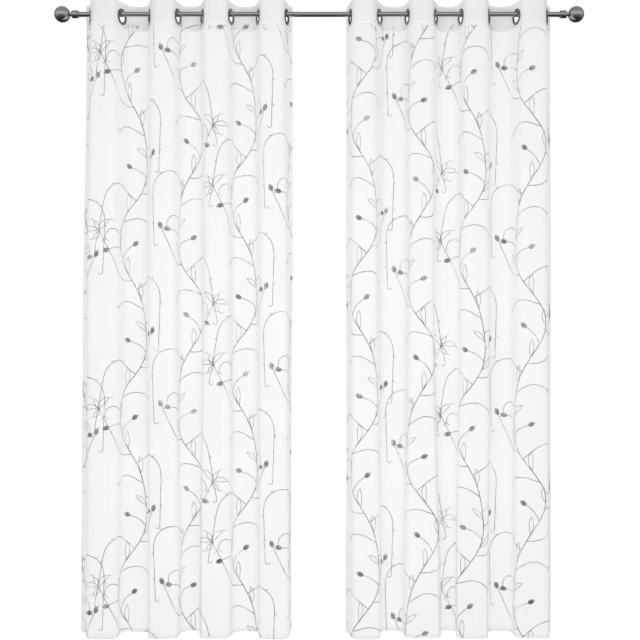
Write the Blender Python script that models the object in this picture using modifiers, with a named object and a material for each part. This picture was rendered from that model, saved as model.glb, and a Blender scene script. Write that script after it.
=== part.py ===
"""A pair of sheer eyelet curtains hanging on one rod with ball finials.

Metres: +X runs along the rod to the right, +Y goes back towards the wall, +Z is up, and the origin is
the middle of the rod's axis. Each panel is one cloth that crosses the rod at every eyelet, by turns from
back to front and from front to back. Seen from above, each wave between two eyelets is a leg, an arc, a
straight crown, an arc and a leg, and it keeps its flat length of cloth all the way down.
"""

import math
from collections import namedtuple

import bmesh
import bpy
from mathutils import Matrix

GAP = 0.0003

# Rod and finials.
ROD_RADIUS = 0.0095
ROD_SIDES = 32
COLLAR_FACE_X = 0.917
COLLAR_LENGTH = 0.026
COLLAR_RADIUS = 0.0147
COLLAR_LIP_RADIUS = 0.0137
COLLAR_LIP_LENGTH = 0.004
COLLAR_CHAMFER = 0.004
SOCKET_DEPTH = 0.018
NECK_RADIUS = 0.0075
BALL_RADIUS = 0.0303
BALL_CENTRE_X = 0.9787
FINIAL_STEPS = 24
BALL_ARCS = 8

# Eyelets: a barrel through the heading, with a flange on either face of the cloth.
EYELET_HOLE_RADIUS = 0.020
EYELET_BARREL_RADIUS = 0.023
EYELET_RADIUS = 0.0305
EYELET_RIM = 0.0011
EYELET_LIP = 0.0021
EYELET_SIDES = 16
EYELET_HALF_STEP = math.pi / EYELET_SIDES
EYELET_Z = ROD_RADIUS + GAP - EYELET_HOLE_RADIUS * math.cos(EYELET_HALF_STEP)
HOLE_RADIUS = EYELET_BARREL_RADIUS + GAP / math.cos(EYELET_HALF_STEP)
CUTTER_LENGTH = 0.012

# Cloth heights, thicknesses and folds.
HEADING_TOP_Z = 0.046
HEADING_BASE_Z = -0.055
HEM_Z = -2.366
HEADING_THICKNESS = 0.0020
PANEL_THICKNESS = 0.0015
EYELET_LEG = 0.031
HEADING_FOLD_RADIUS = 0.036
HEM_FOLD_RADIUS = 0.030
ARC_STEPS = 4
EDGE_FLAT = 0.060
EDGE_RADIUS = 0.025
EDGE_STEPS = 3
PANEL_ROWS = (0.0, 0.08, 0.20, 0.35, 0.50, 0.65, 0.80, 0.92, 1.0)

# Where each panel crosses the rod's line, at the rod, half way down and at the hem, and the angle in
# degrees by which its legs lean there, at the rod and at the hem. A positive lean narrows the wave away
# from the rod, and a negative one lets it swell.
Crossing = namedtuple("Crossing", "rod_x middle_x hem_x rod_lean hem_lean")
LEFT_CROSSINGS = (
    Crossing(-0.871, -0.885, -0.888, 13, 14),
    Crossing(-0.751, -0.757, -0.760, 22, 3),
    Crossing(-0.646, -0.652, -0.649, 15, 6),
    Crossing(-0.538, -0.540, -0.532, 16, 2),
    Crossing(-0.445, -0.441, -0.454, 17, -6),
    Crossing(-0.336, -0.336, -0.334, 17, 4),
    Crossing(-0.233, -0.230, -0.230, 16, 7),
    Crossing(-0.124, -0.117, -0.115, 14, 5),
)
RIGHT_CROSSINGS = (
    Crossing(0.119, 0.119, 0.119, 10, 11),
    Crossing(0.230, 0.228, 0.234, 23, 4),
    Crossing(0.336, 0.335, 0.325, 13, 2),
    Crossing(0.444, 0.436, 0.464, 19, -18),
    Crossing(0.540, 0.535, 0.520, 12, -20),
    Crossing(0.647, 0.647, 0.643, 15, 3),
    Crossing(0.752, 0.746, 0.742, 18, 2),
    Crossing(0.867, 0.872, 0.876, 16, 12),
)

# The side edges curl outwards behind the rod, by this angle in degrees at the rod and at the hem.
Curl = namedtuple("Curl", "at_rod at_hem")
LEFT_CURLS = (Curl(66, 72), Curl(46, 22))
RIGHT_CURLS = (Curl(35, 35), Curl(52, 46))

FRONT = -1
BACK = 1

# Base colour, roughness, metallic value and alpha of each material.
FINISHES = {
    "voile": ((0.93, 0.94, 0.95, 1.0), 0.85, 0.0, 0.75),
    "voile_heading": ((0.94, 0.94, 0.95, 1.0), 0.85, 0.0, 0.92),
    "eyelet_nickel": ((0.50, 0.50, 0.49, 1.0), 0.28, 1.0, 1.0),
    "rod_nickel": ((0.54, 0.53, 0.49, 1.0), 0.30, 1.0, 1.0),
    "finial_nickel": ((0.52, 0.51, 0.48, 1.0), 0.24, 1.0, 1.0),
}


def clear_scene():
    for obj in list(bpy.data.objects):
        bpy.data.objects.remove(obj, do_unlink=True)


def new_collection(name, shown=True):
    collection = bpy.data.collections.new(name)
    bpy.context.scene.collection.children.link(collection)
    collection.hide_render = not shown
    return collection


def new_material(name):
    colour, roughness, metallic, alpha = FINISHES[name]
    material = bpy.data.materials.new(name)
    material.use_nodes = True
    shader = material.node_tree.nodes["Principled BSDF"]
    shader.inputs["Base Color"].default_value = colour
    shader.inputs["Roughness"].default_value = roughness
    shader.inputs["Metallic"].default_value = metallic
    shader.inputs["Alpha"].default_value = alpha
    return material


def add_object(name, mesh, collection, parent, material=None):
    obj = bpy.data.objects.new(name, mesh)
    collection.objects.link(obj)
    obj.parent = parent
    if material:
        obj.data.materials.clear()
        obj.data.materials.append(material)
    return obj


def mesh_from_grid(name, rows):
    """An open surface through rows of points, each row with as many points as the next."""
    form = bmesh.new()
    grid = [[form.verts.new(point) for point in row] for row in rows]
    for upper, lower in zip(grid, grid[1:]):
        for i in range(len(upper) - 1):
            form.faces.new((upper[i], lower[i], lower[i + 1], upper[i + 1]))
    bmesh.ops.recalc_face_normals(form, faces=form.faces)
    mesh = bpy.data.meshes.new(name)
    form.to_mesh(mesh)
    form.free()
    return mesh


def mesh_from_profile(name, points, closed):
    """The outline that a Screw modifier turns about Z, as (radius, height) points."""
    form = bmesh.new()
    verts = [form.verts.new((radius, 0.0, height)) for radius, height in points]
    for first, second in zip(verts, verts[1:]):
        form.edges.new((first, second))
    if closed:
        form.edges.new((verts[-1], verts[0]))
    mesh = bpy.data.meshes.new(name)
    form.to_mesh(mesh)
    form.free()
    return mesh


def turn(obj, steps):
    """Turns a profile into a solid of revolution about its own Z axis."""
    screw = obj.modifiers.new("Turn", "SCREW")
    screw.axis = "Z"
    screw.angle = 2 * math.pi
    screw.steps = steps
    screw.render_steps = steps
    screw.use_smooth_shade = False
    screw.use_merge_vertices = True
    screw.merge_threshold = 0.00001


def thicken(obj, thickness):
    solidify = obj.modifiers.new("Thickness", "SOLIDIFY")
    solidify.thickness = thickness
    solidify.offset = 0.0
    solidify.use_even_offset = True


def spaced(first, last, steps):
    return [first + (last - first) * i / steps for i in range(steps + 1)]


def blend(first, last, share):
    return first + (last - first) * share


def ease(share):
    return share * share * (3 - 2 * share)


# The folds, seen from above.


class Wave:
    """One wave of the cloth between two crossings, with its leans in radians."""

    def __init__(self, start_x, gap, left_lean, right_lean):
        self.start_x = start_x
        self.gap = gap
        self.leans = (left_lean, right_lean)
        self.corner = sum((1 - math.sin(lean)) / math.cos(lean) for lean in self.leans)
        self.taper = sum(math.tan(lean) for lean in self.leans)
        self.bend = math.pi - sum(self.leans)
        self.depth = 0.0
        self.radius = 0.0

    def leg(self, lean):
        return (self.depth - self.radius * (1 - math.sin(lean))) / math.cos(lean)

    def crown(self):
        return self.gap - self.depth * self.taper - self.radius * self.corner

    def flat_length(self):
        return sum(self.leg(lean) for lean in self.leans) + self.radius * self.bend + self.crown()

    def set_by_eyelets(self):
        """The depth at which both legs are flat and long enough for an eyelet."""
        self.radius = HEADING_FOLD_RADIUS
        self.depth = max(
            EYELET_LEG * math.cos(lean) + self.radius * (1 - math.sin(lean)) for lean in self.leans
        )

    def set_by_flat_length(self, flat, radius):
        """The depth that takes up this flat length of cloth, on a radius that still fits the gap."""
        slack = 2 * self.corner - self.bend
        spare = (flat - self.gap) / self.corner
        widest = (self.gap - self.taper * spare) / (self.corner + self.taper * slack / self.corner)
        self.radius = min(radius, widest)
        self.depth = spare + self.radius * slack / self.corner

    def points(self, side):
        """The points of both arcs, to the FRONT or the BACK of the rod."""
        left, right = self.leans
        left_x = self.start_x + self.leg(left) * math.sin(left) + self.radius * math.cos(left)
        right_x = left_x + self.crown()
        centre_y = self.depth - self.radius
        left_arc = spaced(left, math.pi / 2, ARC_STEPS)
        right_arc = spaced(math.pi / 2, math.pi - right, ARC_STEPS)
        places = [(left_x, angle) for angle in left_arc] + [(right_x, angle) for angle in right_arc]
        return [
            (x - self.radius * math.cos(angle), side * (centre_y + self.radius * math.sin(angle)))
            for x, angle in places
        ]


def edge_points(cross_x, lean, curl, outwards):
    """A side edge: a leg behind the rod, then an arc that curls outwards, from the leg to the edge."""
    leg = EDGE_FLAT - EDGE_RADIUS * curl
    centre_out = leg * math.sin(lean) + EDGE_RADIUS * math.cos(lean)
    centre_y = leg * math.cos(lean) - EDGE_RADIUS * math.sin(lean)
    return [
        (
            cross_x + outwards * (centre_out - EDGE_RADIUS * math.cos(angle)),
            BACK * (centre_y + EDGE_RADIUS * math.sin(angle)),
        )
        for angle in spaced(lean, lean + curl, EDGE_STEPS)
    ]


def crossings_at(crossings, share):
    """(x, lean in radians) of each crossing at this share of the way from the heading to the hem."""
    places = []
    for row in crossings:
        if share < 0.5:
            x = blend(row.rod_x, row.middle_x, ease(2 * share))
        else:
            x = blend(row.middle_x, row.hem_x, ease(2 * share - 1))
        places.append((x, math.radians(blend(row.rod_lean, row.hem_lean, ease(share)))))
    return places


def waves_at(crossings, share):
    """The waves of a panel at this share of its height, each with the flat length it has at the rod."""
    places = crossings_at(crossings, share)
    waves = []
    for i, (left, right) in enumerate(zip(places, places[1:])):
        top_left, top_right = crossings[i : i + 2]
        wave = Wave(
            top_left.rod_x,
            top_right.rod_x - top_left.rod_x,
            math.radians(top_left.rod_lean),
            math.radians(top_right.rod_lean),
        )
        wave.set_by_eyelets()
        if share > 0:
            flat = wave.flat_length()
            wave = Wave(left[0], right[0] - left[0], left[1], right[1])
            wave.set_by_flat_length(flat, blend(HEADING_FOLD_RADIUS, HEM_FOLD_RADIUS, share))
        waves.append(wave)
    return waves


def section(crossings, curls, share, z):
    """The panel's line at one height, from its left edge to its right edge."""
    places = crossings_at(crossings, share)
    left_curl, right_curl = (math.radians(blend(*curl, ease(share))) for curl in curls)
    line = edge_points(*places[0], left_curl, -1)[::-1]
    for i, wave in enumerate(waves_at(crossings, share)):
        line += wave.points(BACK if i % 2 else FRONT)
    line += edge_points(*places[-1], right_curl, 1)
    return [(x, y, z) for x, y in line]


# The sub-parts.


def make_panel(side, crossings, curls, parts, parent, material):
    top_z = HEADING_BASE_Z - GAP
    rows = [section(crossings, curls, share, blend(top_z, HEM_Z, share)) for share in PANEL_ROWS]
    mesh = mesh_from_grid(f"panel_{side}", rows)
    panel = add_object(f"panel_{side}", mesh, parts, parent, material)
    thicken(panel, PANEL_THICKNESS)


def crossing_matrix(crossing, number):
    """Places a local Z axis square to the cloth where it crosses the rod, with a flat side on top."""
    lean = math.radians(crossing.rod_lean) * (-1 if number % 2 else 1)
    return (
        Matrix.Translation((crossing.rod_x, 0.0, EYELET_Z))
        @ Matrix.Rotation(lean, 4, "Z")
        @ Matrix.Rotation(math.pi / 2, 4, "Y")
        @ Matrix.Rotation(EYELET_HALF_STEP, 4, "Z")
    )


def make_heading(side, crossings, curls, parts, cutters, parent, material):
    """The stiffened band along the top of a panel, with one hole for each eyelet."""
    rows = [section(crossings, curls, 0.0, z) for z in (HEADING_TOP_Z, HEADING_BASE_Z)]
    mesh = mesh_from_grid(f"heading_{side}", rows)
    heading = add_object(f"heading_{side}", mesh, parts, parent, material)
    thicken(heading, HEADING_THICKNESS)
    for number, crossing in enumerate(crossings):
        form = bmesh.new()
        bmesh.ops.create_cone(
            form,
            cap_ends=True,
            segments=EYELET_SIDES,
            radius1=HOLE_RADIUS,
            radius2=HOLE_RADIUS,
            depth=CUTTER_LENGTH,
        )
        cutter_mesh = bpy.data.meshes.new(f"eyelet_hole_{side}_{number + 1}")
        form.to_mesh(cutter_mesh)
        form.free()
        cutter = add_object(cutter_mesh.name, cutter_mesh, cutters, parent)
        cutter.matrix_world = crossing_matrix(crossing, number)
        cutter.hide_render = True
        cutter.display_type = "WIRE"
        cut = heading.modifiers.new(f"Hole {number + 1}", "BOOLEAN")
        cut.operation = "DIFFERENCE"
        cut.object = cutter


def eyelet_profile():
    groove = HEADING_THICKNESS / 2 + GAP
    rim = groove + EYELET_RIM
    lip = groove + EYELET_LIP
    return [
        (EYELET_RADIUS, rim),
        (EYELET_RADIUS, groove),
        (EYELET_BARREL_RADIUS, groove),
        (EYELET_BARREL_RADIUS, -groove),
        (EYELET_RADIUS, -groove),
        (EYELET_RADIUS, -rim),
        (EYELET_HOLE_RADIUS, -lip),
        (EYELET_HOLE_RADIUS, lip),
    ]


def make_eyelets(side, crossings, profile, parts, parent):
    for number, crossing in enumerate(crossings):
        eyelet = add_object(f"eyelet_{side}_{number + 1}", profile, parts, parent)
        eyelet.matrix_world = crossing_matrix(crossing, number)
        turn(eyelet, EYELET_SIDES)


def make_rod(parts, parent, material):
    form = bmesh.new()
    bmesh.ops.create_cone(
        form,
        cap_ends=True,
        segments=ROD_SIDES,
        radius1=ROD_RADIUS,
        radius2=ROD_RADIUS,
        depth=2 * (COLLAR_FACE_X + SOCKET_DEPTH - GAP),
        matrix=Matrix.Rotation(math.pi / 2, 4, "Y"),
    )
    mesh = bpy.data.meshes.new("rod")
    form.to_mesh(mesh)
    form.free()
    add_object("rod", mesh, parts, parent, material)


def finial_profile():
    """From the ball's tip down over the neck and the collar, then up inside the socket."""
    ball_z = BALL_CENTRE_X - COLLAR_FACE_X
    neck_angle = math.pi - math.asin(NECK_RADIUS / BALL_RADIUS)
    ball = [
        (BALL_RADIUS * math.sin(angle), ball_z + BALL_RADIUS * math.cos(angle))
        for angle in spaced(0.0, neck_angle, BALL_ARCS)
    ]
    socket_radius = ROD_RADIUS + GAP
    return ball + [
        (NECK_RADIUS, COLLAR_LENGTH),
        (COLLAR_RADIUS - COLLAR_CHAMFER, COLLAR_LENGTH),
        (COLLAR_RADIUS, COLLAR_LENGTH - COLLAR_CHAMFER),
        (COLLAR_RADIUS, COLLAR_LIP_LENGTH),
        (COLLAR_LIP_RADIUS, COLLAR_LIP_LENGTH),
        (COLLAR_LIP_RADIUS, 0.0),
        (socket_radius, 0.0),
        (socket_radius, SOCKET_DEPTH),
        (0.0, SOCKET_DEPTH),
    ]


def make_finials(parts, parent, material):
    """A turned finial at each end of the rod, whose collar slips over the rod."""
    profile = mesh_from_profile("finial_profile", finial_profile(), closed=False)
    for side, outwards in (("left", -1), ("right", 1)):
        finial = add_object(f"finial_{side}", profile, parts, parent, material)
        finial.location = (outwards * COLLAR_FACE_X, 0.0, 0.0)
        finial.rotation_euler = (0.0, outwards * math.pi / 2, 0.0)
        turn(finial, FINIAL_STEPS)


def main():
    clear_scene()
    parts = new_collection("Sheer curtain pair")
    cutters = new_collection("Cutters", shown=False)
    root = bpy.data.objects.new("rod_middle", None)
    parts.objects.link(root)
    materials = {name: new_material(name) for name in FINISHES}

    make_rod(parts, root, materials["rod_nickel"])
    make_finials(parts, root, materials["finial_nickel"])
    eyelet_mesh = mesh_from_profile("eyelet_profile", eyelet_profile(), closed=True)
    eyelet_mesh.materials.append(materials["eyelet_nickel"])
    for side, crossings, curls in (
        ("left", LEFT_CROSSINGS, LEFT_CURLS),
        ("right", RIGHT_CROSSINGS, RIGHT_CURLS),
    ):
        make_panel(side, crossings, curls, parts, root, materials["voile"])
        make_heading(side, crossings, curls, parts, cutters, root, materials["voile_heading"])
        make_eyelets(side, crossings, eyelet_mesh, parts, root)


main()
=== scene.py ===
import math
from collections import namedtuple

import bpy
import numpy as np
from mathutils import Matrix


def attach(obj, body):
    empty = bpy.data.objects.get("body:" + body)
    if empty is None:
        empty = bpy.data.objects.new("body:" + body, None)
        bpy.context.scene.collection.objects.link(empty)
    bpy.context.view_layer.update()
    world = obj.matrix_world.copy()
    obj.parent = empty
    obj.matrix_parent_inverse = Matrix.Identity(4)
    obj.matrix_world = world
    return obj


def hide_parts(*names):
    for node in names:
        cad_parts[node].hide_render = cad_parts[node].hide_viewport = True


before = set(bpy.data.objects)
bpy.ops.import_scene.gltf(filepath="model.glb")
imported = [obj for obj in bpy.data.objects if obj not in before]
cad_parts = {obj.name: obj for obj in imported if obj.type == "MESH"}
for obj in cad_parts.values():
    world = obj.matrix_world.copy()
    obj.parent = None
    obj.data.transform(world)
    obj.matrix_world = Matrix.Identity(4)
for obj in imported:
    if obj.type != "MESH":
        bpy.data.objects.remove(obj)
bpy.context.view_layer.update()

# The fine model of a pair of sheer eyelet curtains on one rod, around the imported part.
#
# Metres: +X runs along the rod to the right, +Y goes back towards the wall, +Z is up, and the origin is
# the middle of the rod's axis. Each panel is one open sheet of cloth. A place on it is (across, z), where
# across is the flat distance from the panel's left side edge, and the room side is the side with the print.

# Rod, finials and eyelets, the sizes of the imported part.
ROD_RADIUS = 0.0095
ROD_STEPS = 64
COLLAR_FACE_X = 0.917
COLLAR_LENGTH = 0.026
COLLAR_RADIUS = 0.0147
COLLAR_LIP_RADIUS = 0.0137
COLLAR_LIP_LENGTH = 0.004
COLLAR_CHAMFER = 0.004
SOCKET_DEPTH = 0.018
NECK_RADIUS = 0.0075
BALL_RADIUS = 0.0303
BALL_CENTRE_X = 0.9787
BALL_ARCS = 28
FINIAL_STEPS = 64
EYELET_HOLE_RADIUS = 0.020
EYELET_BARREL_RADIUS = 0.023
EYELET_RADIUS = 0.0305
EYELET_STEPS = 56
EYELET_Z = ROD_RADIUS + 0.0003 - EYELET_HOLE_RADIUS * math.cos(math.pi / 16)

# The cloth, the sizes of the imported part.
HEADING_TOP_Z = 0.046
HEADING_BASE_Z = -0.055
HEM_Z = -2.366
EYELET_LEG = 0.031
HEADING_FOLD_RADIUS = 0.036
HEM_FOLD_RADIUS = 0.030
EDGE_FLAT = 0.060
EDGE_RADIUS = 0.025

# The cloth's fine grid and its seams.
COLUMN_STEP = 0.0036
HEADING_ROW_STEP = 0.004
PANEL_ROW_STEP = 0.017
CLOTH_HOLE_RADIUS = 0.0248
FLAT_ROUND_EYELET = 0.034
FREE_ROUND_EYELET = 0.060
FACING_BASE_Z = -0.0500
SEAM_FOLD_TOP_Z = -0.0405
HEM_FOLD = 0.014
SIDE_HEM_FOLD = 0.011
LAYER_GAP = 0.0007
STITCH_LENGTH = 0.0026
STITCH_PITCH = 0.0036
STITCH_WIDTH = 0.0007

Crossing = namedtuple("Crossing", "rod_x middle_x hem_x rod_lean hem_lean")
LEFT_CROSSINGS = (
    Crossing(-0.871, -0.885, -0.888, 13, 14),
    Crossing(-0.751, -0.757, -0.760, 22, 3),
    Crossing(-0.646, -0.652, -0.649, 15, 6),
    Crossing(-0.538, -0.540, -0.532, 16, 2),
    Crossing(-0.445, -0.441, -0.454, 17, -6),
    Crossing(-0.336, -0.336, -0.334, 17, 4),
    Crossing(-0.233, -0.230, -0.230, 16, 7),
    Crossing(-0.124, -0.117, -0.115, 14, 5),
)
RIGHT_CROSSINGS = (
    Crossing(0.119, 0.119, 0.119, 10, 11),
    Crossing(0.230, 0.228, 0.234, 23, 4),
    Crossing(0.336, 0.335, 0.325, 13, 2),
    Crossing(0.444, 0.436, 0.464, 19, -18),
    Crossing(0.540, 0.535, 0.520, 12, -20),
    Crossing(0.647, 0.647, 0.643, 15, 3),
    Crossing(0.752, 0.746, 0.742, 18, 2),
    Crossing(0.867, 0.872, 0.876, 16, 12),
)
Curl = namedtuple("Curl", "at_rod at_hem")
LEFT_CURLS = (Curl(66, 72), Curl(46, 22))
RIGHT_CURLS = (Curl(35, 35), Curl(52, 46))
FRONT = -1
BACK = 1

# Soft creases: the wave they lie on, how far across it their top and their bottom are,
# half their width, how proud they stand to the room side, and the heights at which they start and end.
Crease = namedtuple("Crease", "wave top_across bottom_across width height top_z bottom_z")
LEFT_CREASES = (
    Crease(0, 0.46, 0.40, 0.020, -0.0012, -0.06, -1.20),
    Crease(1, 0.34, 0.30, 0.008, 0.0022, -0.03, -0.36),
    Crease(1, 0.56, 0.60, 0.007, -0.0020, -0.03, -0.30),
    Crease(1, 0.70, 0.66, 0.006, 0.0016, -0.03, -0.24),
    Crease(2, 0.52, 0.46, 0.016, 0.0010, -0.40, -1.90),
    Crease(3, 0.30, 0.36, 0.008, 0.0028, -0.03, -0.42),
    Crease(3, 0.48, 0.52, 0.008, -0.0030, -0.03, -0.50),
    Crease(3, 0.66, 0.62, 0.007, 0.0026, -0.03, -0.34),
    Crease(4, 0.44, 0.52, 0.018, -0.0012, -0.10, -1.40),
    Crease(5, 0.32, 0.28, 0.008, 0.0020, -0.03, -0.30),
    Crease(5, 0.60, 0.56, 0.008, -0.0022, -0.03, -0.44),
    Crease(6, 0.56, 0.48, 0.018, 0.0012, -0.30, -2.10),
)
RIGHT_CREASES = (
    Crease(0, 0.56, 0.50, 0.018, 0.0012, -0.20, -1.70),
    Crease(1, 0.36, 0.32, 0.008, 0.0022, -0.03, -0.34),
    Crease(1, 0.58, 0.64, 0.008, -0.0022, -0.03, -0.46),
    Crease(2, 0.50, 0.56, 0.018, -0.0012, -0.08, -1.30),
    Crease(3, 0.30, 0.36, 0.008, 0.0028, -0.03, -0.44),
    Crease(3, 0.50, 0.46, 0.008, -0.0030, -0.03, -0.38),
    Crease(3, 0.68, 0.70, 0.007, 0.0024, -0.03, -0.30),
    Crease(4, 0.46, 0.50, 0.016, 0.0010, -0.50, -2.00),
    Crease(5, 0.34, 0.38, 0.008, 0.0020, -0.03, -0.32),
    Crease(5, 0.62, 0.58, 0.008, -0.0024, -0.03, -0.48),
    Crease(6, 0.44, 0.52, 0.020, -0.0012, -0.10, -1.50),
)

# The printed vine. One repeat of a stem, its twigs and what they carry, in flat metres and degrees.
# A heading of 0 goes up towards the rod, and a positive one leans to the twig's own side.
REPEAT = 0.670
STEM_SWING = 0.066
STEM_WAVER = 0.012
STEM_WIDTH = 0.0032
TWIG_WIDTH = 0.0027
OUTLINE_WIDTH = 0.0020
STROKE_STEP = 0.0045
PRINT_LIFT = 0.0004
PRINT_RIDGE = 0.0003
PRINT_EDGE_MARGIN = 0.003
FRONT_PRINT_TOP_Z = -0.0540
BACK_PRINT_TOP_Z = -0.0220

Twig = namedtuple("Twig", "up side leave length bend bend_from bend_to tip")
TWIGS = (
    Twig(0.02, 1, 84, 0.430, 124, 0.10, 0.60, "hook"),
    Twig(0.07, -1, 62, 0.270, -66, 0.0, 0.50, "blossom"),
    Twig(0.18, 1, 52, 0.080, 34, 0.0, 1.0, "bud"),
    Twig(0.25, -1, 60, 0.064, 36, 0.0, 1.0, "bud"),
    Twig(0.33, -1, 76, 0.105, 112, 0.25, 1.0, "fork"),
    Twig(0.40, 1, 40, 0.150, 66, 0.2, 1.0, "fork"),
    Twig(0.53, -1, 86, 0.410, 120, 0.10, 0.58, "hook"),
    Twig(0.57, 1, 64, 0.200, -70, 0.0, 0.55, "bud"),
    Twig(0.66, -1, 54, 0.074, 30, 0.0, 1.0, "bud"),
    Twig(0.73, 1, 56, 0.066, 28, 0.0, 1.0, "bud"),
    Twig(0.82, 1, 78, 0.115, 114, 0.25, 1.0, "fork"),
    Twig(0.90, -1, 44, 0.140, 70, 0.2, 1.0, "fork"),
)
Leaf = namedtuple("Leaf", "up side leave length width bend")
LEAVES = (
    Leaf(0.10, 1, 22, 0.072, 0.017, 16),
    Leaf(0.28, 1, 26, 0.066, 0.015, -24),
    Leaf(0.46, -1, 24, 0.076, 0.018, 20),
    Leaf(0.61, 1, 26, 0.070, 0.016, -18),
    Leaf(0.77, -1, 28, 0.062, 0.015, 28),
    Leaf(0.96, 1, 24, 0.066, 0.016, -20),
)
Petal = namedtuple("Petal", "leave length width bend")
PETALS = (
    Petal(-44, 0.060, 0.017, -46),
    Petal(-6, 0.044, 0.014, 14),
    Petal(34, 0.062, 0.018, 54),
    Petal(126, 0.034, 0.017, -20),
)

# Where the stems run: the first one's flat distance across, then one every two waves, each with its
# share of a repeat to start at and the way its twigs face.
Column = namedtuple("Column", "across start flip")
LEFT_COLUMNS = (
    Column(-0.020, 0.62, 1),
    Column(0.322, 0.05, 1),
    Column(0.668, 0.46, -1),
    Column(1.016, 0.80, 1),
    Column(1.352, 0.25, -1),
)
RIGHT_COLUMNS = (
    Column(0.150, 0.36, 1),
    Column(0.497, 0.70, -1),
    Column(0.842, 0.10, 1),
    Column(1.190, 0.52, -1),
)


# Small helpers.


def spaced(first, last, steps):
    return [first + (last - first) * i / steps for i in range(steps + 1)]


def blend(first, last, share):
    return first + (last - first) * share


def ease(share):
    share = np.clip(share, 0.0, 1.0)
    return share * share * (3 - 2 * share)


def add_mesh(name, points, faces, material, smooth=True):
    mesh = bpy.data.meshes.new(name)
    mesh.from_pydata([tuple(point) for point in points], [], [tuple(face) for face in faces])
    mesh.validate()
    if smooth:
        mesh.shade_smooth()
    obj = bpy.data.objects.new(name, mesh)
    bpy.context.scene.collection.objects.link(obj)
    mesh.materials.append(material)
    return obj


def own(obj, replaces=()):
    """Fixes a piece to the part and hides the CAD nodes it stands for."""
    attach(obj, "root")
    if replaces:
        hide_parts(*replaces)
    return obj


# The folds, seen from above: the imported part's own rules, read at any flat distance.


class Wave:
    """One wave of the cloth between two crossings, with its leans in radians."""

    def __init__(self, start_x, gap, left_lean, right_lean):
        self.start_x = start_x
        self.gap = gap
        self.leans = (left_lean, right_lean)
        self.corner = sum((1 - math.sin(lean)) / math.cos(lean) for lean in self.leans)
        self.taper = sum(math.tan(lean) for lean in self.leans)
        self.bend = math.pi - sum(self.leans)
        self.depth = 0.0
        self.radius = 0.0

    def leg(self, lean):
        return (self.depth - self.radius * (1 - math.sin(lean))) / math.cos(lean)

    def crown(self):
        return self.gap - self.depth * self.taper - self.radius * self.corner

    def flat_length(self):
        return sum(self.leg(lean) for lean in self.leans) + self.radius * self.bend + self.crown()

    def set_by_eyelets(self):
        self.radius = HEADING_FOLD_RADIUS
        self.depth = max(
            EYELET_LEG * math.cos(lean) + self.radius * (1 - math.sin(lean)) for lean in self.leans
        )

    def set_by_flat_length(self, flat, radius):
        slack = 2 * self.corner - self.bend
        spare = (flat - self.gap) / self.corner
        widest = (self.gap - self.taper * spare) / (self.corner + self.taper * slack / self.corner)
        self.radius = min(radius, widest)
        self.depth = spare + self.radius * slack / self.corner

    def at(self, along, side):
        """(x, y) at flat distances along this wave, to the FRONT or the BACK of the rod."""
        left, right = self.leans
        left_leg = self.leg(left)
        left_bend = self.radius * (math.pi / 2 - left)
        crown = self.crown()
        right_bend = self.radius * (math.pi / 2 - right)
        right_leg = self.leg(right)
        left_x = self.start_x + left_leg * math.sin(left) + self.radius * math.cos(left)
        right_x = left_x + crown
        centre_y = self.depth - self.radius
        ends = np.cumsum([left_leg, left_bend, crown, right_bend])
        turned = left + (along - ends[0]) / self.radius
        turning = math.pi / 2 + (along - ends[2]) / self.radius
        to_go = ends[3] + right_leg - along
        part = np.searchsorted(ends, along)
        x = np.choose(part, [
            self.start_x + along * math.sin(left),
            left_x - self.radius * np.cos(turned),
            left_x + along - ends[1],
            right_x - self.radius * np.cos(turning),
            self.start_x + self.gap - to_go * math.sin(right),
        ])
        y = np.choose(part, [
            along * math.cos(left),
            centre_y + self.radius * np.sin(turned),
            np.full_like(along, self.depth),
            centre_y + self.radius * np.sin(turning),
            to_go * math.cos(right),
        ])
        return x, side * y


def edge_at(from_crossing, cross_x, lean, curl, outwards):
    """(x, y) at flat distances from the last crossing: a leg behind the rod, then the outward curl."""
    leg = EDGE_FLAT - EDGE_RADIUS * curl
    centre_out = leg * math.sin(lean) + EDGE_RADIUS * math.cos(lean)
    centre_y = leg * math.cos(lean) - EDGE_RADIUS * math.sin(lean)
    turned = lean + (from_crossing - leg) / EDGE_RADIUS
    straight = from_crossing <= leg
    out = np.where(
        straight, from_crossing * math.sin(lean), centre_out - EDGE_RADIUS * np.cos(turned)
    )
    back = np.where(
        straight, from_crossing * math.cos(lean), centre_y + EDGE_RADIUS * np.sin(turned)
    )
    return cross_x + outwards * out, BACK * back


def crossings_at(crossings, share):
    """(x, lean in radians) of each crossing at this share of the way from the heading to the hem."""
    places = []
    for row in crossings:
        if share < 0.5:
            x = blend(row.rod_x, row.middle_x, ease(2 * share))
        else:
            x = blend(row.middle_x, row.hem_x, ease(2 * share - 1))
        places.append((x, math.radians(blend(row.rod_lean, row.hem_lean, ease(share)))))
    return places


def waves_at(crossings, share):
    """The waves of a panel at this share of its height, each with the flat length it has at the rod."""
    places = crossings_at(crossings, share)
    waves = []
    for i, (left, right) in enumerate(zip(places, places[1:])):
        top_left, top_right = crossings[i : i + 2]
        wave = Wave(
            top_left.rod_x,
            top_right.rod_x - top_left.rod_x,
            math.radians(top_left.rod_lean),
            math.radians(top_right.rod_lean),
        )
        wave.set_by_eyelets()
        if share > 0:
            flat = wave.flat_length()
            wave = Wave(left[0], right[0] - left[0], left[1], right[1])
            wave.set_by_flat_length(flat, blend(HEADING_FOLD_RADIUS, HEM_FOLD_RADIUS, share))
        waves.append(wave)
    return waves


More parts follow.
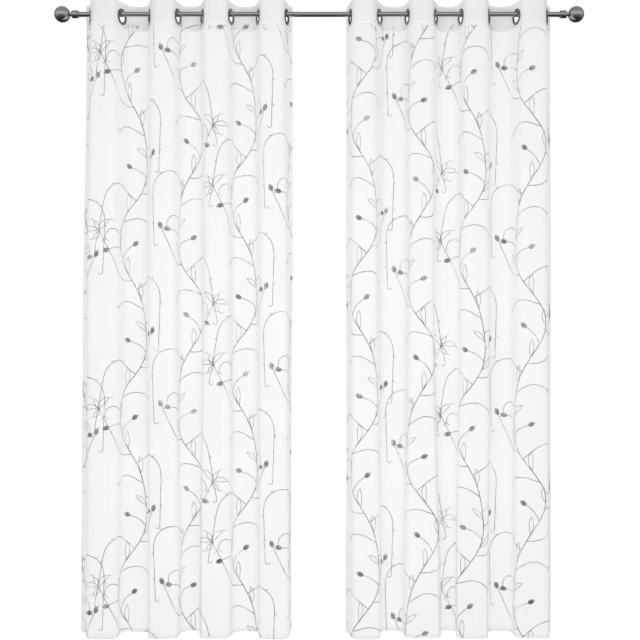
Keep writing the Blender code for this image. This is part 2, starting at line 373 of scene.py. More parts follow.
class Cloth:
    """One panel as a fine grid of points, with rows down from the heading and columns across it."""

    def __init__(self, crossings, curls, creases, seed):
        self.crossings = crossings
        self.curls = curls
        flats = [wave.flat_length() for wave in waves_at(crossings, 0.0)]
        self.starts = EDGE_FLAT + np.concatenate([[0.0], np.cumsum(flats)])
        self.width = self.starts[-1] + EDGE_FLAT
        columns = round(self.width / COLUMN_STEP)
        self.across = np.linspace(0.0, self.width, columns + 1)
        heading_rows = round((HEADING_TOP_Z - HEADING_BASE_Z) / HEADING_ROW_STEP)
        panel_rows = round((HEADING_BASE_Z - HEM_Z) / PANEL_ROW_STEP)
        self.heights = np.array(
            spaced(HEADING_TOP_Z, HEADING_BASE_Z, heading_rows)
            + spaced(HEADING_BASE_Z, HEM_Z, panel_rows)[1:]
        )
        self.points = np.array([self.row(z) for z in self.heights])
        self.normals = self.room_normals()
        proud = self.creased(creases) + self.wavered(seed)
        self.points += self.normals * (proud * self.freedom())[..., None]
        self.normals = self.room_normals()

    def row(self, z):
        share = max(0.0, (HEADING_BASE_Z - z) / (HEADING_BASE_Z - HEM_Z))
        places = crossings_at(self.crossings, share)
        left_curl, right_curl = (math.radians(blend(*curl, ease(share))) for curl in self.curls)
        x = np.zeros_like(self.across)
        y = np.zeros_like(self.across)
        left = self.across < self.starts[0]
        x[left], y[left] = edge_at(self.starts[0] - self.across[left], *places[0], left_curl, -1)
        for i, wave in enumerate(waves_at(self.crossings, share)):
            here = (self.across >= self.starts[i]) & (self.across < self.starts[i + 1])
            x[here], y[here] = wave.at(self.across[here] - self.starts[i], BACK if i % 2 else FRONT)
        right = self.across >= self.starts[-1]
        x[right], y[right] = edge_at(self.across[right] - self.starts[-1], *places[-1], right_curl, 1)
        return np.stack([x, y, np.full_like(x, z)], axis=1)

    def room_normals(self):
        along = np.gradient(self.points, self.across, axis=1)
        down = -np.gradient(self.points, self.heights, axis=0)
        normals = np.cross(down, along)
        return normals / np.linalg.norm(normals, axis=2, keepdims=True)

    def creased(self, creases):
        """How proud the listed creases stand, over the grid."""
        proud = np.zeros((len(self.heights), len(self.across)))
        for crease in creases:
            start = self.starts[crease.wave]
            flat = self.starts[crease.wave + 1] - start
            down = (crease.top_z - self.heights) / (crease.top_z - crease.bottom_z)
            centre = start + flat * blend(crease.top_across, crease.bottom_across, ease(down))
            fade = ease((0.02 + crease.top_z - self.heights) / 0.05) * (1 - ease(down))
            offset = (self.across[None, :] - centre[:, None]) / crease.width
            proud += crease.height * fade[:, None] * np.exp(-offset * offset)
        return proud

    def wavered(self, seed):
        """The slow unevenness of hanging cloth, stronger towards the hem."""
        rng = np.random.default_rng(seed)
        proud = np.zeros((len(self.heights), len(self.across)))
        for _ in range(14):
            across_turns = rng.uniform(3.0, 11.0) / self.width
            down_turns = rng.uniform(0.15, 1.1)
            phase = rng.uniform(0.0, 2 * math.pi)
            proud += np.sin(
                2 * math.pi * (across_turns * self.across[None, :] + down_turns * self.heights[:, None])
                + phase
            )
        free = ease((HEADING_BASE_Z - self.heights) / 0.5)
        return 0.00045 * proud * free[:, None]

    def freedom(self):
        """1 where the cloth may crease, and 0 where an eyelet holds it flat."""
        free = np.ones((len(self.heights), len(self.across)))
        for start in self.starts:
            away = np.hypot(self.across[None, :] - start, self.heights[:, None] - EYELET_Z)
            free *= ease((away - FLAT_ROUND_EYELET) / (FREE_ROUND_EYELET - FLAT_ROUND_EYELET))
        return free

    def place(self, across, z, lift=0.0):
        """The points at these places on the cloth, lifted off it towards the room."""
        column = np.clip(np.asarray(across) / self.width, 0, 1) * (len(self.across) - 1)
        row = np.interp(-np.asarray(z), -self.heights, np.arange(len(self.heights)))
        left = np.minimum(column.astype(int), len(self.across) - 2)
        top = np.minimum(row.astype(int), len(self.heights) - 2)
        right_share = (column - left)[..., None]
        down_share = (row - top)[..., None]
        found = []
        for grid in (self.points, self.normals):
            upper = blend(grid[top, left], grid[top, left + 1], right_share)
            lower = blend(grid[top + 1, left], grid[top + 1, left + 1], right_share)
            found.append(blend(upper, lower, down_share))
        return found[0] + found[1] * np.asarray(lift)[..., None]

    def grid_mesh(self, name, across, heights, lift, material, holes=False):
        """A sheet over part of the cloth, with UVs in flat metres and, if asked, the eyelets' holes."""
        columns, rows = len(across), len(heights)
        flat = np.stack(np.meshgrid(across, heights), axis=2).reshape(-1, 2)
        index = np.arange(rows * columns).reshape(rows, columns)
        faces = np.stack(
            [index[:-1, :-1], index[1:, :-1], index[1:, 1:], index[:-1, 1:]], axis=2
        ).reshape(-1, 4)
        if holes:
            faces, flat = self.cut_holes(faces, flat)
        used, faces = np.unique(faces, return_inverse=True)
        faces = faces.reshape(-1, 4)
        flat = flat[used]
        sheet = add_mesh(name, self.place(flat[:, 0], flat[:, 1], lift), faces, material)
        layer = sheet.data.uv_layers.new(name="flat")
        corners = np.zeros(len(sheet.data.loops), int)
        sheet.data.loops.foreach_get("vertex_index", corners)
        layer.data.foreach_set("uv", flat[corners].astype(np.float32).ravel())
        return sheet

    def cut_holes(self, faces, flat):
        """Leaves out the faces inside each eyelet and makes their rim round."""
        middles = flat[faces].mean(axis=1)
        kept = np.ones(len(faces), bool)
        moved = flat.copy()
        for start in self.starts:
            centre = np.array([start, EYELET_Z])
            inside = np.hypot(*(middles - centre).T) < CLOTH_HOLE_RADIUS
            kept &= ~inside
            rim = np.intersect1d(faces[inside], faces[~inside])
            spoke = flat[rim] - centre
            moved[rim] = centre + spoke / np.hypot(*spoke.T)[:, None] * CLOTH_HOLE_RADIUS
        return faces[kept], moved


# Materials.


def new_material(name):
    material = bpy.data.materials.new(name)
    material.use_nodes = True
    nodes = material.node_tree.nodes
    return material, nodes, material.node_tree.links, nodes["Principled BSDF"]


def noise_of(nodes, links, vector, scale, detail=3.0, roughness=0.55):
    noise = nodes.new("ShaderNodeTexNoise")
    noise.inputs["Scale"].default_value = scale
    noise.inputs["Detail"].default_value = detail
    noise.inputs["Roughness"].default_value = roughness
    links.new(vector, noise.inputs["Vector"])
    return noise.outputs["Fac"]


def ramp_of(nodes, links, value, stops):
    """A colour ramp over (position, colour or grey) stops."""
    ramp = nodes.new("ShaderNodeValToRGB")
    elements = ramp.color_ramp.elements
    while len(elements) < len(stops):
        elements.new(0.5)
    for element, (position, colour) in zip(elements, stops):
        element.position = position
        rgb = colour if isinstance(colour, tuple) else (colour,) * 3
        element.color = (*rgb, 1.0)
    links.new(value, ramp.inputs["Fac"])
    return ramp.outputs["Color"]


def scaled(nodes, links, vector, scale):
    mapping = nodes.new("ShaderNodeMapping")
    mapping.inputs["Scale"].default_value = scale
    links.new(vector, mapping.inputs["Vector"])
    return mapping.outputs["Vector"]


def maths(nodes, links, operation, first, second):
    node = nodes.new("ShaderNodeMath")
    node.operation = operation
    for socket, value in zip(node.inputs, (first, second)):
        if isinstance(value, (int, float)):
            socket.default_value = value
        else:
            links.new(value, socket)
    return node.outputs["Value"]


def bump_of(nodes, links, height, strength, distance, shader):
    bump = nodes.new("ShaderNodeBump")
    bump.inputs["Strength"].default_value = strength
    bump.inputs["Distance"].default_value = distance
    links.new(height, bump.inputs["Height"])
    links.new(bump.outputs["Normal"], shader.inputs["Normal"])
    return bump.outputs["Normal"]


def voile_material(name, thread_pitch, dark, light, alpha, through):
    """Plain-woven sheer cloth: fine threads both ways, slubs along them, and light that comes through."""
    material, nodes, links, shader = new_material(name)
    flat = nodes.new("ShaderNodeTexCoord").outputs["UV"]
    threads = []
    for direction in ("X", "Y"):
        wave = nodes.new("ShaderNodeTexWave")
        wave.wave_type = "BANDS"
        wave.bands_direction = direction
        wave.inputs["Scale"].default_value = 2 * math.pi / (20 * thread_pitch)
        wave.inputs["Distortion"].default_value = 0.4
        links.new(flat, wave.inputs["Vector"])
        threads.append(wave.outputs["Fac"])
    weave = maths(nodes, links, "MAXIMUM", *threads)
    warp_slubs = noise_of(nodes, links, scaled(nodes, links, flat, (320.0, 5.0, 1.0)), 1.0)
    weft_slubs = noise_of(nodes, links, scaled(nodes, links, flat, (7.0, 420.0, 1.0)), 1.0)
    clouds = noise_of(nodes, links, flat, 5.0)
    tone = maths(nodes, links, "ADD", maths(nodes, links, "MULTIPLY", weave, 0.30), clouds)
    tone = maths(nodes, links, "ADD", tone, maths(nodes, links, "MULTIPLY", warp_slubs, 0.6))
    tone = maths(nodes, links, "ADD", tone, maths(nodes, links, "MULTIPLY", weft_slubs, 0.4))
    colour = ramp_of(nodes, links, maths(nodes, links, "DIVIDE", tone, 2.3), [(0.30, dark), (0.62, light)])
    links.new(colour, shader.inputs["Base Color"])
    shader.inputs["Roughness"].default_value = 0.85
    shader.inputs["Specular IOR Level"].default_value = 0.15
    shader.inputs["Sheen Weight"].default_value = 0.40
    shader.inputs["Sheen Roughness"].default_value = 0.5
    shader.inputs["Alpha"].default_value = alpha
    normal = bump_of(nodes, links, weave, 0.15, 0.00008, shader)
    translucent = nodes.new("ShaderNodeBsdfTranslucent")
    links.new(colour, translucent.inputs["Color"])
    links.new(normal, translucent.inputs["Normal"])
    mix = nodes.new("ShaderNodeMixShader")
    mix.inputs["Fac"].default_value = through
    links.new(shader.outputs["BSDF"], mix.inputs[1])
    links.new(translucent.outputs["BSDF"], mix.inputs[2])
    links.new(mix.outputs["Shader"], nodes["Material Output"].inputs["Surface"])
    return material


def metal_material(name, dark, light, roughness, brushed):
    """Satin metal with fine turned or drawn lines: brushed is the scale of its noise on each axis."""
    material, nodes, links, shader = new_material(name)
    place = nodes.new("ShaderNodeTexCoord").outputs["Object"]
    lines = noise_of(nodes, links, scaled(nodes, links, place, brushed), 1.0, detail=4.0)
    links.new(ramp_of(nodes, links, lines, [(0.3, dark), (0.7, light)]), shader.inputs["Base Color"])
    spread = ramp_of(nodes, links, lines, [(0.25, roughness * 0.85), (0.75, roughness * 1.2)])
    links.new(spread, shader.inputs["Roughness"])
    shader.inputs["Metallic"].default_value = 1.0
    bump_of(nodes, links, lines, 0.06, 0.00005, shader)
    return material


def foil_material():
    """Silver foil print, lighter and darker along the vine: partly worn, uneven foil, and its near-white spots are
    painted glints of the foil catching the light.
    """
    material, nodes, links, shader = new_material("silver_foil")
    place = nodes.new("ShaderNodeTexCoord").outputs["Object"]
    wear_and_glints = noise_of(nodes, links, place, 20.0, detail=6.0, roughness=0.72)
    grain = noise_of(nodes, links, place, 900.0, detail=2.0)
    mixed = maths(nodes, links, "ADD", wear_and_glints, maths(nodes, links, "MULTIPLY", grain, 0.25))
    # The ramp's top stop, near white, paints glints into the foil's colour; the lower stops are worn, uneven foil.
    colour = ramp_of(nodes, links, mixed, [(0.42, (0.14, 0.14, 0.15)), (0.62, (0.36, 0.36, 0.38)), (0.78, (0.85, 0.85, 0.87))])
    links.new(colour, shader.inputs["Base Color"])
    shader.inputs["Metallic"].default_value = 0.6
    shader.inputs["Roughness"].default_value = 0.42
    bump_of(nodes, links, grain, 0.2, 0.0001, shader)
    return material


def thread_material():
    material, nodes, links, shader = new_material("sewing_thread")
    place = nodes.new("ShaderNodeTexCoord").outputs["Object"]
    twist = noise_of(nodes, links, place, 1500.0, detail=2.0)
    colour = ramp_of(nodes, links, twist, [(0.3, (0.80, 0.80, 0.82)), (0.7, (0.92, 0.92, 0.93))])
    links.new(colour, shader.inputs["Base Color"])
    shader.inputs["Roughness"].default_value = 0.6
    bump_of(nodes, links, twist, 0.2, 0.0001, shader)
    return material


# Rod, finials and eyelets.


def turned_mesh(name, profile, steps, closed, material):
    """The solid of revolution of (radius, height) points about Z, shaded smooth but for its corners."""
    angles = np.arange(steps) * 2 * math.pi / steps
    radius, height = np.array(profile).T
    points = np.stack(
        [
            np.outer(radius, np.cos(angles)),
            np.outer(radius, np.sin(angles)),
            np.repeat(height[:, None], steps, axis=1),
        ],
        axis=2,
    ).reshape(-1, 3)
    faces = []
    count = len(profile)
    for i in range(count if closed else count - 1):
        for j in range(steps):
            ring, after = i * steps, (i + 1) % count * steps
            faces.append((ring + j, after + j, after + (j + 1) % steps, ring + (j + 1) % steps))
    if not closed:
        faces.append(tuple(range(steps)))
        faces.append(tuple(reversed(range((count - 1) * steps, count * steps))))
    obj = add_mesh(name, points, faces, material)
    obj.data.set_sharp_from_angle(angle=math.radians(38))
    return obj


def make_rod(material):
    half = COLLAR_FACE_X + SOCKET_DEPTH - 0.0004
    profile = [(ROD_RADIUS, half), (ROD_RADIUS, -half)]
    rod = turned_mesh("rod_tube", profile, ROD_STEPS, False, material)
    rod.rotation_euler = (0.0, math.pi / 2, 0.0)
    return own(rod, ["rod"])


def finial_profile():
    """From the ball's tip down over the neck and the collar to its face on the rod."""
    ball_z = BALL_CENTRE_X - COLLAR_FACE_X
    neck_angle = math.pi - math.asin(NECK_RADIUS / BALL_RADIUS)
    ball = [
        (BALL_RADIUS * math.sin(angle), ball_z + BALL_RADIUS * math.cos(angle))
        for angle in spaced(0.01, neck_angle, BALL_ARCS)
    ]
    chamfer = COLLAR_CHAMFER
    return ball + [
        (NECK_RADIUS, COLLAR_LENGTH + 0.0006),
        (NECK_RADIUS + 0.0006, COLLAR_LENGTH),
        (COLLAR_RADIUS - chamfer, COLLAR_LENGTH),
        (COLLAR_RADIUS - 0.45 * chamfer, COLLAR_LENGTH - 0.25 * chamfer),
        (COLLAR_RADIUS, COLLAR_LENGTH - chamfer),
        (COLLAR_RADIUS, COLLAR_LIP_LENGTH + 0.0004),
        (COLLAR_RADIUS - 0.0004, COLLAR_LIP_LENGTH),
        (COLLAR_LIP_RADIUS - 0.0006, COLLAR_LIP_LENGTH),
        (COLLAR_LIP_RADIUS - 0.0006, COLLAR_LIP_LENGTH - 0.0009),
        (COLLAR_LIP_RADIUS, COLLAR_LIP_LENGTH - 0.0013),
        (COLLAR_LIP_RADIUS, 0.0004),
        (COLLAR_LIP_RADIUS - 0.0004, 0.0),
        (ROD_RADIUS + 0.0003, 0.0),
    ]


def make_finials(material):
    finials = []
    for side, outwards in (("left", -1), ("right", 1)):
        finial = turned_mesh(f"ball_finial_{side}", finial_profile(), FINIAL_STEPS, False, material)
        finial.location = (outwards * COLLAR_FACE_X, 0.0, 0.0)
        finial.rotation_euler = (0.0, outwards * math.pi / 2, 0.0)
        finials.append(own(finial, [f"finial_{side}"]))
    return finials


def eyelet_profile():
    """A rolled flange on either face of the cloth, joined by the barrel, as one closed outline."""
    groove = 0.0008
    front = [
        (EYELET_RADIUS - 0.0003, groove),
        (EYELET_RADIUS, groove + 0.0004),
        (EYELET_RADIUS - 0.0002, groove + 0.0010),
        (EYELET_RADIUS - 0.0012, groove + 0.0017),
        (EYELET_RADIUS - 0.0031, groove + 0.0023),
        (EYELET_RADIUS - 0.0052, groove + 0.0026),
        (EYELET_RADIUS - 0.0073, groove + 0.0024),
        (EYELET_RADIUS - 0.0091, groove + 0.0017),
        (EYELET_HOLE_RADIUS + 0.0004, groove + 0.0006),
        (EYELET_HOLE_RADIUS, groove - 0.0004),
    ]
    back = [(radius, -height) for radius, height in reversed(front)]
    return front + back + [(EYELET_BARREL_RADIUS, -groove), (EYELET_BARREL_RADIUS, groove)]


def crossing_matrix(crossing, number):
    """Places a local Z axis square to the cloth where it crosses the rod."""
    lean = math.radians(crossing.rod_lean) * (-1 if number % 2 else 1)
    return (
        Matrix.Translation((crossing.rod_x, 0.0, EYELET_Z))
        @ Matrix.Rotation(lean, 4, "Z")
        @ Matrix.Rotation(math.pi / 2, 4, "Y")
    )


def make_eyelets(side, crossings, material):
    eyelets = []
    for number, crossing in enumerate(crossings):
        name = f"eyelet_ring_{side}_{number + 1}"
        eyelet = turned_mesh(name, eyelet_profile(), EYELET_STEPS, True, material)
        eyelet.matrix_world = crossing_matrix(crossing, number)
        eyelets.append(own(eyelet, [f"eyelet_{side}_{number + 1}"]))
    return eyelets


# The cloth's layers and stitches.


def make_voile(side, cloth, material):
    voile = cloth.grid_mesh(f"voile_{side}", cloth.across, cloth.heights, 0.0, material, holes=True)
    return own(voile, [f"panel_{side}", f"heading_{side}"])


def make_facing(side, cloth, material):
    """The stiffened second layer of the heading, on the wall side."""
    rows = round((HEADING_TOP_Z - FACING_BASE_Z) / HEADING_ROW_STEP)
    heights = np.array(spaced(HEADING_TOP_Z - 0.0005, FACING_BASE_Z, rows))
    facing = cloth.grid_mesh(
        f"heading_facing_{side}", cloth.across, heights, -LAYER_GAP, material, holes=True
    )
    return own(facing)


def make_seam_fold(side, cloth, material):
    """The narrow fold stitched down along the heading's lower edge, on the room side."""
    heights = np.array(spaced(SEAM_FOLD_TOP_Z, FACING_BASE_Z, 3))
    fold = cloth.grid_mesh(f"heading_seam_{side}", cloth.across, heights, LAYER_GAP, material)
    return own(fold)


def make_hems(side, cloth, material):
    """The cloth turned up along the hem and turned in along both side edges, on the wall side."""
    hem = cloth.grid_mesh(
        f"bottom_hem_{side}",
        cloth.across,
        np.array(spaced(HEM_Z + HEM_FOLD, HEM_Z, 3)),
        -LAYER_GAP,
        material,
    )
    pieces = [own(hem)]
    rows = cloth.heights[cloth.heights < FACING_BASE_Z]
    for edge, inner, outer in (
        ("left", SIDE_HEM_FOLD, 0.0),
        ("right", cloth.width - SIDE_HEM_FOLD, cloth.width),
    ):
        across = np.array(sorted(spaced(inner, outer, 3)))
        strip = cloth.grid_mesh(f"side_hem_{side}_{edge}", across, rows, -LAYER_GAP, material)
        pieces.append(own(strip))
    return pieces


def stitch_quads(cloth, starts, ends, lift):
    """One narrow flat stitch from each start to its end, as (points, faces)."""
    along = ends - starts
    along /= np.linalg.norm(along, axis=1, keepdims=True)
    half = 0.5 * STITCH_WIDTH * np.stack([-along[:, 1], along[:, 0]], axis=1)
    corners = np.stack([starts - half, ends - half, ends + half, starts + half], axis=1)
    flat = corners.reshape(-1, 2)
    return cloth.place(flat[:, 0], flat[:, 1], lift)


def make_stitches(side, cloth, material):
    """Rows of machine stitches along the heading's seam, the bottom hem and both side hems."""
    across = np.arange(0.004, cloth.width - 0.008, STITCH_PITCH)
    down = np.arange(HEM_Z + 0.004, FACING_BASE_Z - 0.004, STITCH_PITCH)
    lines = [
        (across, np.full_like(across, z), (STITCH_LENGTH, 0.0))
        for z in (SEAM_FOLD_TOP_Z - 0.0015, FACING_BASE_Z + 0.0015, HEM_Z + HEM_FOLD - 0.0015)
    ]
    lines += [
        (np.full_like(down, x), down, (0.0, STITCH_LENGTH))
        for x in (SIDE_HEM_FOLD - 0.0015, cloth.width - SIDE_HEM_FOLD + 0.0015)
    ]
    points = []
    for x, z, step in lines:
        starts = np.stack([x, z], axis=1)
        points.append(stitch_quads(cloth, starts, starts + np.array(step), LAYER_GAP + 0.0003))
    points = np.concatenate(points)
    faces = np.arange(len(points)).reshape(-1, 4)
    return own(add_mesh(f"stitches_{side}", points, faces, material, smooth=False))


# The printed vine, drawn in flat metres and then laid on the cloth.


def direction(heading):
    return np.array([math.sin(math.radians(heading)), math.cos(math.radians(heading))])


def sweep(start, heading, length, bend, bend_from=0.0, bend_to=1.0):
    """Points of a line that turns through bend degrees between two shares of its length."""
    steps = max(3, round(length / STROKE_STEP))
    points = [np.array(start, float)]
    for i in range(steps):
        share = ((i + 0.5) / steps - bend_from) / (bend_to - bend_from)
        points.append(points[-1] + direction(heading + bend * float(ease(share))) * length / steps)
    return points


def petal_outline(base, heading, length, width, bend):
    """A closed teardrop about a bent axis, widest past its middle."""
    axis = sweep(base, heading, length, bend)
    steps = len(axis) - 1
    left, right = [], []
    for i, point in enumerate(axis):
        share = i / steps
        ahead = axis[min(i + 1, steps)] - axis[max(i - 1, 0)]
        ahead /= np.linalg.norm(ahead)
        half = 0.5 * width * math.sin(math.pi * share ** 1.25) ** 0.9 * np.array([-ahead[1], ahead[0]])
        left.append(point + half)
        right.append(point - half)
    return left + right[-2::-1]


class Vine:
    """Gathers the strokes of one panel's print: each is (points, widths)."""

    def __init__(self):
        self.strokes = []

    def line(self, points, width, tip=None):
        tip = width if tip is None else tip
        count = len(points)
        self.strokes.append((np.array(points), np.linspace(width, tip, count)))

    def filled(self, base, heading, length, width, bend):
        """A solid lobe: one stroke as wide as the lobe is."""
        points = sweep(base, heading, length, bend)
        shares = np.linspace(0.0, 1.0, len(points))
        self.strokes.append((np.array(points), 0.0006 + width * np.sin(math.pi * shares ** 0.8)))

    def outline(self, base, heading, length, width, bend):
        self.line(petal_outline(base, heading, length, width, bend), OUTLINE_WIDTH)

    def bud(self, base, heading, side):
        self.filled(base, heading, 0.030, 0.0095, 0)
        self.filled(base, heading - side * 30, 0.027, 0.0070, side * 34)
        self.filled(base, heading + side * 32, 0.024, 0.0065, -side * 38)

    def blossom(self, base, heading, side):
        self.filled(base - direction(heading) * 0.008, heading, 0.014, 0.0060, 0)
        for petal in PETALS:
            leave = heading + side * petal.leave
            self.outline(base, leave, petal.length, petal.width, side * petal.bend)
            tip = sweep(base, leave, petal.length, side * petal.bend)[-1]
            self.line(
                sweep(tip, leave + side * petal.bend, 0.022, side * math.copysign(70, petal.bend)),
                OUTLINE_WIDTH,
                0.0010,
            )

    def hook(self, base, heading, side):
        self.line(sweep(base, heading + side * 30, 0.026, side * 150), TWIG_WIDTH, 0.0012)

    def fork(self, base, heading, side):
        self.line(sweep(base, heading - side * 34, 0.020, -side * 20), TWIG_WIDTH, 0.0012)
        self.line(sweep(base, heading + side * 46, 0.018, side * 30), TWIG_WIDTH, 0.0012)

    def twig(self, twig, base, heading, side):
        leave = heading + side * twig.leave
        points = sweep(base, leave, twig.length, side * twig.bend, twig.bend_from, twig.bend_to)
        self.line(points, TWIG_WIDTH, 0.8 * TWIG_WIDTH)
        getattr(self, twig.tip)(points[-1], leave + side * twig.bend, side)
        if twig.length > 0.3:
            self.thorns(points, side)

    def thorns(self, points, side):
        """Short spurs on the outside of a long curl."""
        for share in (0.35, 0.58, 0.80):
            i = round(share * (len(points) - 1))
            ahead = points[i] - points[i - 1]
            heading = math.degrees(math.atan2(ahead[0], ahead[1]))
            self.line(sweep(points[i], heading - side * 50, 0.014, side * 20), TWIG_WIDTH, 0.0010)


def stem_at(column, z):
    """The stem's place and heading at a height."""
    turn = 2 * math.pi * (z / REPEAT + column.start)
    across = column.across + column.flip * (
        STEM_SWING * math.sin(turn) + STEM_WAVER * math.sin(2 * turn + 1.1)
    )
    slope = column.flip * 2 * math.pi / REPEAT * (
        STEM_SWING * math.cos(turn) + 2 * STEM_WAVER * math.cos(2 * turn + 1.1)
    )
    return np.array([across, z]), math.degrees(math.atan(slope))


def draw_column(vine, column):
    """A stem from the hem to the heading, with its twigs and leaves once in every repeat."""
    steps = round((HEADING_TOP_Z - HEM_Z) / STROKE_STEP)
    vine.line([stem_at(column, z)[0] for z in spaced(HEM_Z, HEADING_TOP_Z, steps)], STEM_WIDTH)
    for repeat in range(-1, 5):
        foot = HEM_Z + (repeat - column.start) * REPEAT
        for twig in TWIGS:
            base, heading = stem_at(column, foot + twig.up * REPEAT)
            vine.twig(twig, base, heading, twig.side * column.flip)
        for leaf in LEAVES:
            base, heading = stem_at(column, foot + leaf.up * REPEAT)
            side = leaf.side * column.flip
            vine.outline(base, heading + side * leaf.leave, leaf.length, leaf.width, side * leaf.bend)


def print_limits(cloth, places):
    """Which places lie where the cloth is printed: up to the heading, or to the rod on the back waves."""
    wave = np.searchsorted(cloth.starts, places[:, 0])
    front = wave % 2 == 1
    top = np.where(front, FRONT_PRINT_TOP_Z, BACK_PRINT_TOP_Z)
    return (
        (places[:, 0] > PRINT_EDGE_MARGIN)
        & (places[:, 0] < cloth.width - PRINT_EDGE_MARGIN)
        & (places[:, 1] > HEM_Z + 0.001)
        & (places[:, 1] < top)
    )


def stroke_mesh(cloth, points, widths):
    """(points, faces) of one stroke: a narrow ribbon with a low ridge, cut off at the print's limits."""
    ahead = np.gradient(points, axis=0)
    ahead /= np.maximum(np.linalg.norm(ahead, axis=1, keepdims=True), 1e-9)
    half = 0.5 * widths[:, None] * np.stack([-ahead[:, 1], ahead[:, 0]], axis=1)
    inside = print_limits(cloth, points)
    flat = np.stack([points - half, points, points + half], axis=1).reshape(-1, 2)
    lift = np.tile([PRINT_LIFT, PRINT_LIFT + PRINT_RIDGE, PRINT_LIFT], len(points))
    placed = cloth.place(flat[:, 0], flat[:, 1], lift)
    faces = []
    for i in range(len(points) - 1):
        if inside[i] and inside[i + 1]:
            for k in (0, 1):
                faces.append((3 * i + k, 3 * i + k + 1, 3 * i + k + 4, 3 * i + k + 3))
    return placed, faces


def make_print(side, cloth, columns, material):
    vine = Vine()
    for column in columns:
        draw_column(vine, column)
    points, faces = [], []
    count = 0
    for places, widths in vine.strokes:
        placed, found = stroke_mesh(cloth, places, widths)
        if found:
            points.append(placed)
            faces += [tuple(count + corner for corner in face) for face in found]
            count += len(placed)
    printed = add_mesh(f"vine_print_{side}", np.concatenate(points), faces, material)
    return own(printed)


# Stage, light and camera.

CAMERA_PLACE = (0.0032, -3.81, -1.1645)
CAMERA_LENS = 56.25
FLOOR_Z = -2.425
SKY_FRONT = 0.70
SKY_BACK = 0.82
SKY_SIDES = 0.14


def make_floor():
    points = [(-6, -6, FLOOR_Z), (6, -6, FLOOR_Z), (6, 6, FLOOR_Z), (-6, 6, FLOOR_Z)]
    material, nodes, links, shader = new_material("pale_floor")
    shader.inputs["Base Color"].default_value = (0.9, 0.9, 0.9, 1.0)
    shader.inputs["Roughness"].default_value = 0.9
    shader.inputs["Emission Color"].default_value = (1.0, 1.0, 1.0, 1.0)
    shader.inputs["Emission Strength"].default_value = 0.32
    floor = add_mesh("floor", points, [(0, 1, 2, 3)], material, smooth=False)
    floor.visible_glossy = False
    floor.visible_diffuse = False
    floor.visible_transmission = False


def make_world():
    """White to the camera, a soft sky for the cloth, and a banded room for the metal to reflect."""
    world = bpy.data.worlds.new("studio")
    bpy.context.scene.world = world
    world.use_nodes = True
    nodes, links = world.node_tree.nodes, world.node_tree.links
    rays = nodes.new("ShaderNodeLightPath").outputs
    direction_of = nodes.new("ShaderNodeSeparateXYZ")
    links.new(nodes.new("ShaderNodeTexCoord").outputs["Generated"], direction_of.inputs["Vector"])
    height = maths(nodes, links, "MULTIPLY_ADD", direction_of.outputs["Z"], 0.5)
    height.node.inputs[2].default_value = 0.5
    back = maths(nodes, links, "MULTIPLY_ADD", direction_of.outputs["Y"], 0.5)
    back.node.inputs[2].default_value = 0.5
    front_room = ramp_of(nodes, links, height, [
        (0.0, 0.03), (0.12, 0.05), (0.28, 0.16), (0.42, 0.36), (0.52, 0.62),
        (0.62, 0.80), (0.74, 0.48), (1.0, 0.34),
    ])
    back_room = ramp_of(nodes, links, height, [
        (0.0, 0.03), (0.30, 0.06), (0.45, 0.16), (0.60, 0.26), (1.0, 0.34),
    ])
    room_share = ramp_of(nodes, links, back, [(0.35, 0.0), (0.65, 1.0)])
    room = mix_colours(nodes, links, room_share, front_room, back_room)
    sky = mix_colours(
        nodes, links, ramp_of(nodes, links, back, [(0.2, 0.0), (0.8, 1.0)]),
        (SKY_FRONT,) * 3, (SKY_BACK,) * 3,
    )
    aside = maths(nodes, links, "ABSOLUTE", direction_of.outputs["X"], 0.0)
    sides = maths(nodes, links, "MULTIPLY", aside, SKY_SIDES)
    sky = add_colours(nodes, links, sky, sides)
    seen = mix_colours(nodes, links, rays["Is Glossy Ray"], sky, room)
    seen = mix_colours(nodes, links, rays["Is Camera Ray"], seen, (1.0, 1.0, 1.0))
    links.new(seen, nodes["Background"].inputs["Color"])


def mix_colours(nodes, links, factor, first, second):
    mix = nodes.new("ShaderNodeMix")
    mix.data_type = "RGBA"
    links.new(factor, mix.inputs["Factor"])
    colour_inputs = [socket for socket in mix.inputs if socket.type == "RGBA"]
    for socket, value in zip(colour_inputs, (first, second)):
        if isinstance(value, tuple):
            socket.default_value = (*value, 1.0)
        else:
            links.new(value, socket)
    return next(socket for socket in mix.outputs if socket.type == "RGBA")


def add_colours(nodes, links, first, second):
    add = nodes.new("ShaderNodeVectorMath")
    add.operation = "ADD"
    links.new(first, add.inputs[0])
    links.new(second, add.inputs[1])
    return add.outputs["Vector"]


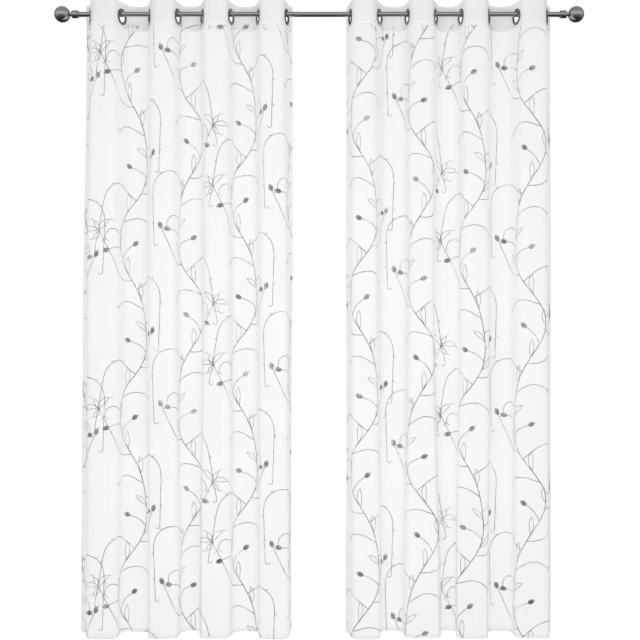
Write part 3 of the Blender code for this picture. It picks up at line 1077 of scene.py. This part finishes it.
def make_lights():
    """One large soft light near the camera, level with the middle of the cloth."""
    lamp = bpy.data.lights.new("key", "AREA")
    lamp.shape = "RECTANGLE"
    lamp.size = 1.6
    lamp.size_y = 1.0
    lamp.energy = 24.0
    key = bpy.data.objects.new("key", lamp)
    key.location = (0.0, -2.1, -1.15)
    key.rotation_euler = (math.pi / 2, 0.0, 0.0)
    key.visible_glossy = False
    key.visible_camera = False
    bpy.context.scene.collection.objects.link(key)


def make_camera():
    data = bpy.data.cameras.new("camera")
    data.lens = CAMERA_LENS
    data.sensor_width = 36.0
    camera = bpy.data.objects.new("camera", data)
    camera.location = CAMERA_PLACE
    camera.rotation_euler = (math.pi / 2, 0.0, 0.0)
    bpy.context.scene.collection.objects.link(camera)
    bpy.context.scene.camera = camera
    bpy.context.scene.view_settings.view_transform = "Standard"


def main():
    voile = voile_material("white_voile", 0.0006, (0.90, 0.905, 0.915), (0.965, 0.967, 0.972), 0.52, 0.40)
    heading = voile_material("stiff_heading", 0.0008, (0.92, 0.922, 0.93), (0.965, 0.966, 0.97), 0.97, 0.15)
    # The eyelets are the same nickel as the rod, but their base colour is made much darker: painted shade, for the
    # dark grey look of the rings seen edge-on between the folds.
    eyelet_nickel = metal_material("eyelet_nickel", (0.16, 0.16, 0.165), (0.30, 0.30, 0.305), 0.25, (300, 300, 40))
    rod_nickel = metal_material("rod_nickel", (0.55, 0.54, 0.50), (0.66, 0.65, 0.61), 0.22, (30, 30, 900))
    finial_nickel = metal_material("finial_nickel", (0.50, 0.495, 0.46), (0.62, 0.61, 0.57), 0.20, (120, 120, 900))
    foil = foil_material()
    thread = thread_material()

    make_rod(rod_nickel)
    make_finials(finial_nickel)
    for side, crossings, curls, creases, columns, seed in (
        ("left", LEFT_CROSSINGS, LEFT_CURLS, LEFT_CREASES, LEFT_COLUMNS, 11),
        ("right", RIGHT_CROSSINGS, RIGHT_CURLS, RIGHT_CREASES, RIGHT_COLUMNS, 23),
    ):
        cloth = Cloth(crossings, curls, creases, seed)
        sheet = make_voile(side, cloth, voile)
        pieces = [make_facing(side, cloth, heading), make_seam_fold(side, cloth, heading)]
        pieces += make_hems(side, cloth, voile)
        pieces.append(make_stitches(side, cloth, thread))
        pieces.append(make_print(side, cloth, columns, foil))
        pieces += make_eyelets(side, crossings, eyelet_nickel)
        print(f"{side} panel: {cloth.width:.4f} m flat")

    make_floor()
    make_world()
    make_lights()
    make_camera()


main()
